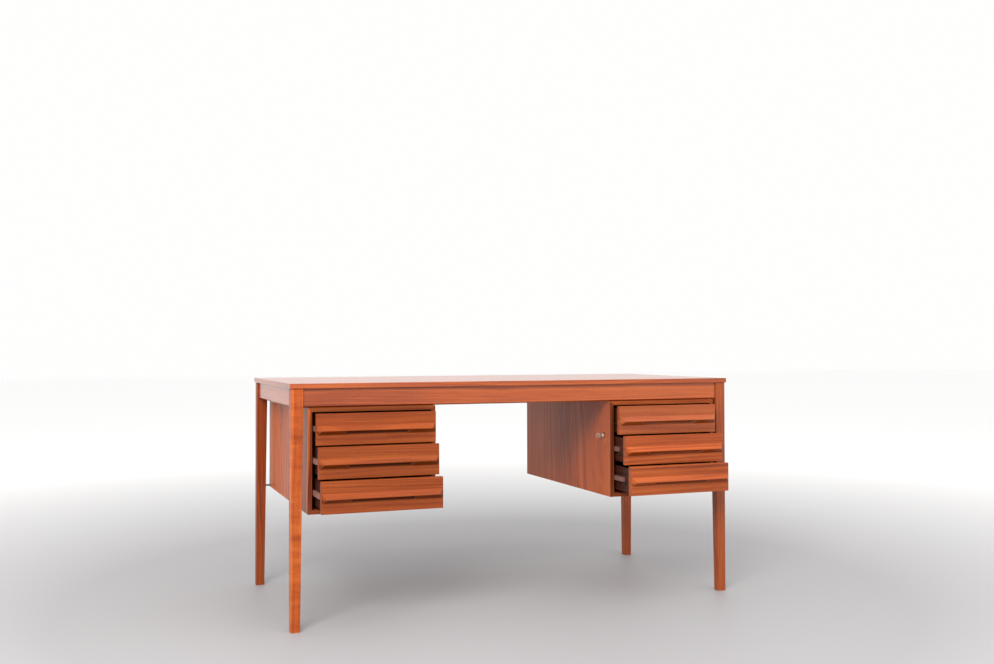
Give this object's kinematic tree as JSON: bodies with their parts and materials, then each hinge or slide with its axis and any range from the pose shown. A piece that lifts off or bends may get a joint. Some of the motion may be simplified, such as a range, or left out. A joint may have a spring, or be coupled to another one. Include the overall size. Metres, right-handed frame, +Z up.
{
  "type": "executive desk",
  "caption": "Teak writing desk on slim tapered legs, with a thin top, an apron frame and hung pedestals of inset drawers with ridge pulls and a side lock.",
  "frame": {"origin": "on the floor, under the middle of the top", "axes": "+X to the right as the sitter faces the desk, +Y to the back, +Z up; drawers open to -Y"},
  "size_m": [1.5, 0.846, 0.73],
  "materials": {
    "teak_veneer": "oiled satin",
    "teak_solid": "oiled satin",
    "drawer_wood": "stained",
    "drawer_ply": "matt",
    "strip_wood": "waxed",
    "frame_wood": "matt",
    "steel": "dull zinc",
    "nickel": "polished nickel"
  },
  "bodies": {
    "desk_frame": {"apron_back": "teak_solid", "apron_front": "teak_solid", "apron_left": "teak_solid", "apron_right": "teak_solid", "corner_blocks": "frame_wood", "leg_back_left": "teak_solid", "leg_back_right": "teak_solid", "leg_front_left": "teak_solid", "leg_front_right": "teak_solid", "lock_bar_guides": "steel", "lock_cylinder": "nickel", "pedestal_bearers": "frame_wood", "pedestal_left_back": "teak_veneer", "pedestal_left_bottom": "teak_veneer", "pedestal_left_inner_side": "teak_veneer", "pedestal_left_outer_side": "teak_veneer", "pedestal_left_runners": "frame_wood", "pedestal_left_top": "teak_veneer", "pedestal_right_back": "teak_veneer", "pedestal_right_bottom": "teak_veneer", "pedestal_right_inner_side": "teak_veneer", "pedestal_right_outer_side": "teak_veneer", "pedestal_right_runners": "frame_wood", "pedestal_right_top": "teak_veneer", "pedestal_screws": "steel", "pedestal_ties": "steel", "top_lipping_long": "teak_solid", "top_lipping_short": "teak_solid", "top_panel": "teak_veneer"},
    "lock_key": {"lock_key": "nickel"},
    "lock_bar": {"lock_bar": "steel"},
    "drawer_left_top": {"drawer_left_top_bottom": "drawer_ply", "drawer_left_top_box": "drawer_wood", "drawer_left_top_front": "teak_solid", "drawer_left_top_slide_strips": "strip_wood"},
    "drawer_left_middle": {"drawer_left_middle_bottom": "drawer_ply", "drawer_left_middle_box": "drawer_wood", "drawer_left_middle_front": "teak_solid", "drawer_left_middle_slide_strips": "strip_wood"},
    "drawer_left_bottom": {"drawer_left_bottom_bottom": "drawer_ply", "drawer_left_bottom_box": "drawer_wood", "drawer_left_bottom_front": "teak_solid", "drawer_left_bottom_slide_strips": "strip_wood"},
    "drawer_right_top": {"drawer_right_top_bottom": "drawer_ply", "drawer_right_top_box": "drawer_wood", "drawer_right_top_front": "teak_solid", "drawer_right_top_slide_strips": "strip_wood", "drawer_right_top_striker": "steel"},
    "drawer_right_middle": {"drawer_right_middle_bottom": "drawer_ply", "drawer_right_middle_box": "drawer_wood", "drawer_right_middle_front": "teak_solid", "drawer_right_middle_slide_strips": "strip_wood", "drawer_right_middle_striker": "steel"},
    "drawer_right_bottom": {"drawer_right_bottom_bottom": "drawer_ply", "drawer_right_bottom_box": "drawer_wood", "drawer_right_bottom_front": "teak_solid", "drawer_right_bottom_slide_strips": "strip_wood", "drawer_right_bottom_striker": "steel"}
  },
  "joints": [
    {"name": "drawer_left_top_slide", "type": "slide", "parent": "desk_frame", "child": "drawer_left_top", "axis": [0, -1, 0], "range_m": [-0.052, 0.328]},
    {"name": "drawer_left_middle_slide", "type": "slide", "parent": "desk_frame", "child": "drawer_left_middle", "axis": [0, -1, 0], "range_m": [-0.085, 0.295]},
    {"name": "drawer_left_bottom_slide", "type": "slide", "parent": "desk_frame", "child": "drawer_left_bottom", "axis": [0, -1, 0], "range_m": [-0.122, 0.258]},
    {"name": "drawer_right_top_slide", "type": "slide", "parent": "desk_frame", "child": "drawer_right_top", "axis": [0, -1, 0], "range_m": [-0.037, 0.343]},
    {"name": "drawer_right_middle_slide", "type": "slide", "parent": "desk_frame", "child": "drawer_right_middle", "axis": [0, -1, 0], "range_m": [-0.079, 0.301]},
    {"name": "drawer_right_bottom_slide", "type": "slide", "parent": "desk_frame", "child": "drawer_right_bottom", "axis": [0, -1, 0], "range_m": [-0.115, 0.265]},
    {"name": "lock_key_turn", "type": "hinge", "parent": "desk_frame", "child": "lock_key", "pos_m": [0.3025, -0.304, 0.543], "axis": [1, 0, 0], "range_deg": [0, 90]},
    {"name": "lock_bar_lift", "type": "slide", "parent": "desk_frame", "child": "lock_bar", "axis": [0, 0, 1], "range_m": [0, 0.00707]}
  ],
  "couplings": [
    {"joint": "lock_key_turn", "follows": "lock_bar_lift", "rad_per_m": 222.15}
  ]
}
